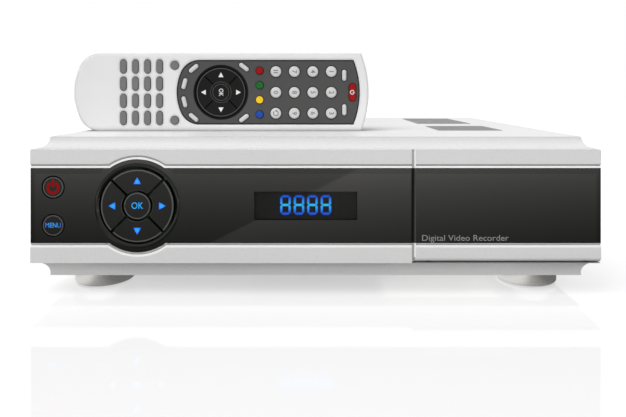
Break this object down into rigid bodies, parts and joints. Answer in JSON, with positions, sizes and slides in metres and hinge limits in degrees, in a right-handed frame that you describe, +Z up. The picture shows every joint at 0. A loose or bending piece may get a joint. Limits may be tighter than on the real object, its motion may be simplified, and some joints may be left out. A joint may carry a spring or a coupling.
{
  "type": "digital video recorder",
  "caption": "Set-top digital video recorder: moulded front with keys, display and drop-down door, steel casing with rear sockets, and its remote control standing on the cover.",
  "frame": {"origin": "centre of the footprint's bounding box, on the floor under the rubber pads", "axes": "+X to the right seen from the front, the front faces -Y, +Z up"},
  "size_m": [0.34, 0.261, 0.1478],
  "materials": {
    "casing_white": "fine powder coat, satin",
    "front_white": "moulded, satin gloss",
    "panel_black": "piano gloss",
    "key_black": "satin gloss, printed marks",
    "lens_smoke": "smoked clear acrylic",
    "digit_blue": "lit blue segments",
    "inner_black": "fine texture",
    "plated_steel": "zinc plated",
    "brushed_silver": "brushed, clear coated",
    "pad_rubber": "soft, matt",
    "board_green": "solder mask",
    "board_tan": "phenolic board",
    "core_yellow": "taped ferrite",
    "drive_cast": "cast and machined",
    "cable_grey": "vinyl ribbon",
    "socket_metal": "nickel plated",
    "socket_black": "moulded",
    "remote_white": "satin gloss",
    "remote_grey": "fine satin",
    "mat_grey": "silicone",
    "key_silver": "silver paint, satin",
    "key_dark": "satin gloss",
    "key_red": "satin",
    "key_green": "satin",
    "key_yellow": "satin",
    "key_blue": "satin",
    "cell_gold": "printed sleeve"
  },
  "bodies": {
    "recorder": {"base_pan": "plated_steel", "top_cover": "casing_white", "rear_panel": "plated_steel", "front_bezel": "front_white", "fascia_panel": "panel_black", "nav_surround": "panel_black", "display_window": "lens_smoke", "display_module": "inner_black", "display_digits": "digit_blue", "key_board": "board_green", "door_catch": "inner_black", "card_bay": "inner_black", "card_cages": "plated_steel", "main_board": "board_green", "power_board": "board_tan", "power_transformer": "core_yellow", "hard_drive": "drive_cast", "drive_bracket": "plated_steel", "tuner_cans": "plated_steel", "fan_frame": "inner_black", "ribbon_cable": "cable_grey", "mains_inlet": "socket_black", "mains_switch": "socket_black", "f_connectors": "socket_metal", "scart_sockets": "socket_black", "rca_sockets": "socket_black", "hdmi_socket": "socket_metal", "network_socket": "socket_metal", "feet": "brushed_silver", "foot_pads": "pad_rubber", "case_screws": "plated_steel", "board_screws": "plated_steel"},
    "power_button": {"power_button": "key_black"},
    "menu_button": {"menu_button": "key_black"},
    "up_key": {"up_key": "key_black"},
    "down_key": {"down_key": "key_black"},
    "left_key": {"left_key": "key_black"},
    "right_key": {"right_key": "key_black"},
    "ok_button": {"ok_button": "key_black"},
    "eject_button": {"eject_button": "inner_black"},
    "door": {"door_frame": "front_white", "door_panel": "panel_black", "door_pins": "plated_steel"},
    "fan_rotor": {"fan_rotor": "inner_black"},
    "mains_rocker": {"mains_rocker": "socket_black"},
    "remote": {"remote_back_shell": "remote_white", "remote_front_shell": "remote_white", "remote_face_plate": "remote_grey", "remote_keymat": "mat_grey", "remote_silver_keys": "key_silver", "remote_board": "board_green", "remote_batteries": "cell_gold"},
    "remote_nav_pad": {"remote_nav_pad": "key_dark"},
    "remote_ok_key": {"remote_ok_key": "key_dark"},
    "remote_power_key": {"remote_power_key": "key_red"},
    "remote_red_key": {"remote_red_key": "key_red"},
    "remote_green_key": {"remote_green_key": "key_green"},
    "remote_yellow_key": {"remote_yellow_key": "key_yellow"},
    "remote_blue_key": {"remote_blue_key": "key_blue"},
    "remote_battery_cover": {"remote_battery_cover": "remote_white"}
  },
  "joints": [
    {"name": "power_press", "type": "slide", "parent": "recorder", "child": "power_button", "axis": [0, 1, 0], "range_m": [0, 0.0008], "stiffness_N_per_m": 1500},
    {"name": "menu_press", "type": "slide", "parent": "recorder", "child": "menu_button", "axis": [0, 1, 0], "range_m": [0, 0.0008], "stiffness_N_per_m": 1500},
    {"name": "up_press", "type": "slide", "parent": "recorder", "child": "up_key", "axis": [0, 1, 0], "range_m": [0, 0.0008], "stiffness_N_per_m": 1500},
    {"name": "down_press", "type": "slide", "parent": "recorder", "child": "down_key", "axis": [0, 1, 0], "range_m": [0, 0.0008], "stiffness_N_per_m": 1500},
    {"name": "left_press", "type": "slide", "parent": "recorder", "child": "left_key", "axis": [0, 1, 0], "range_m": [0, 0.0008], "stiffness_N_per_m": 1500},
    {"name": "right_press", "type": "slide", "parent": "recorder", "child": "right_key", "axis": [0, 1, 0], "range_m": [0, 0.0008], "stiffness_N_per_m": 1500},
    {"name": "ok_press", "type": "slide", "parent": "recorder", "child": "ok_button", "axis": [0, 1, 0], "range_m": [0, 0.0008], "stiffness_N_per_m": 1500},
    {"name": "eject_press", "type": "slide", "parent": "recorder", "child": "eject_button", "axis": [0, 1, 0], "range_m": [0, 0.004], "stiffness_N_per_m": 500},
    {"name": "door_hinge", "type": "hinge", "parent": "recorder", "child": "door", "pos_m": [0.114, -0.1275, 0.02255], "axis": [1, 0, 0], "range_deg": [0, 90]},
    {"name": "fan_spin", "type": "hinge", "parent": "recorder", "child": "fan_rotor", "pos_m": [-0.052, 0.1115, 0.054], "axis": [0, 1, 0], "continuous": true},
    {"name": "mains_rocker_tilt", "type": "hinge", "parent": "recorder", "child": "mains_rocker", "pos_m": [-0.105, 0.119, 0.03], "axis": [1, 0, 0], "range_deg": [-20, 0]},
    {"name": "remote_lift", "type": "slide", "parent": "recorder", "child": "remote", "axis": [0, 0, 1], "range_m": [0, 0.15]},
    {"name": "remote_nav_press", "type": "slide", "parent": "remote", "child": "remote_nav_pad", "axis": [0, 1, 0], "range_m": [0, 0.0008], "stiffness_N_per_m": 600},
    {"name": "remote_ok_press", "type": "slide", "parent": "remote", "child": "remote_ok_key", "axis": [0, 1, 0], "range_m": [0, 0.0008], "stiffness_N_per_m": 600},
    {"name": "remote_power_press", "type": "slide", "parent": "remote", "child": "remote_power_key", "axis": [0, 1, 0], "range_m": [0, 0.0008], "stiffness_N_per_m": 600},
    {"name": "remote_red_press", "type": "slide", "parent": "remote", "child": "remote_red_key", "axis": [0, 1, 0], "range_m": [0, 0.0008], "stiffness_N_per_m": 600},
    {"name": "remote_green_press", "type": "slide", "parent": "remote", "child": "remote_green_key", "axis": [0, 1, 0], "range_m": [0, 0.0008], "stiffness_N_per_m": 600},
    {"name": "remote_yellow_press", "type": "slide", "parent": "remote", "child": "remote_yellow_key", "axis": [0, 1, 0], "range_m": [0, 0.0008], "stiffness_N_per_m": 600},
    {"name": "remote_blue_press", "type": "slide", "parent": "remote", "child": "remote_blue_key", "axis": [0, 1, 0], "range_m": [0, 0.0008], "stiffness_N_per_m": 600},
    {"name": "battery_cover_slide", "type": "slide", "parent": "remote", "child": "remote_battery_cover", "axis": [-1, 0, 0], "range_m": [0, 0.04]}
  ]
}
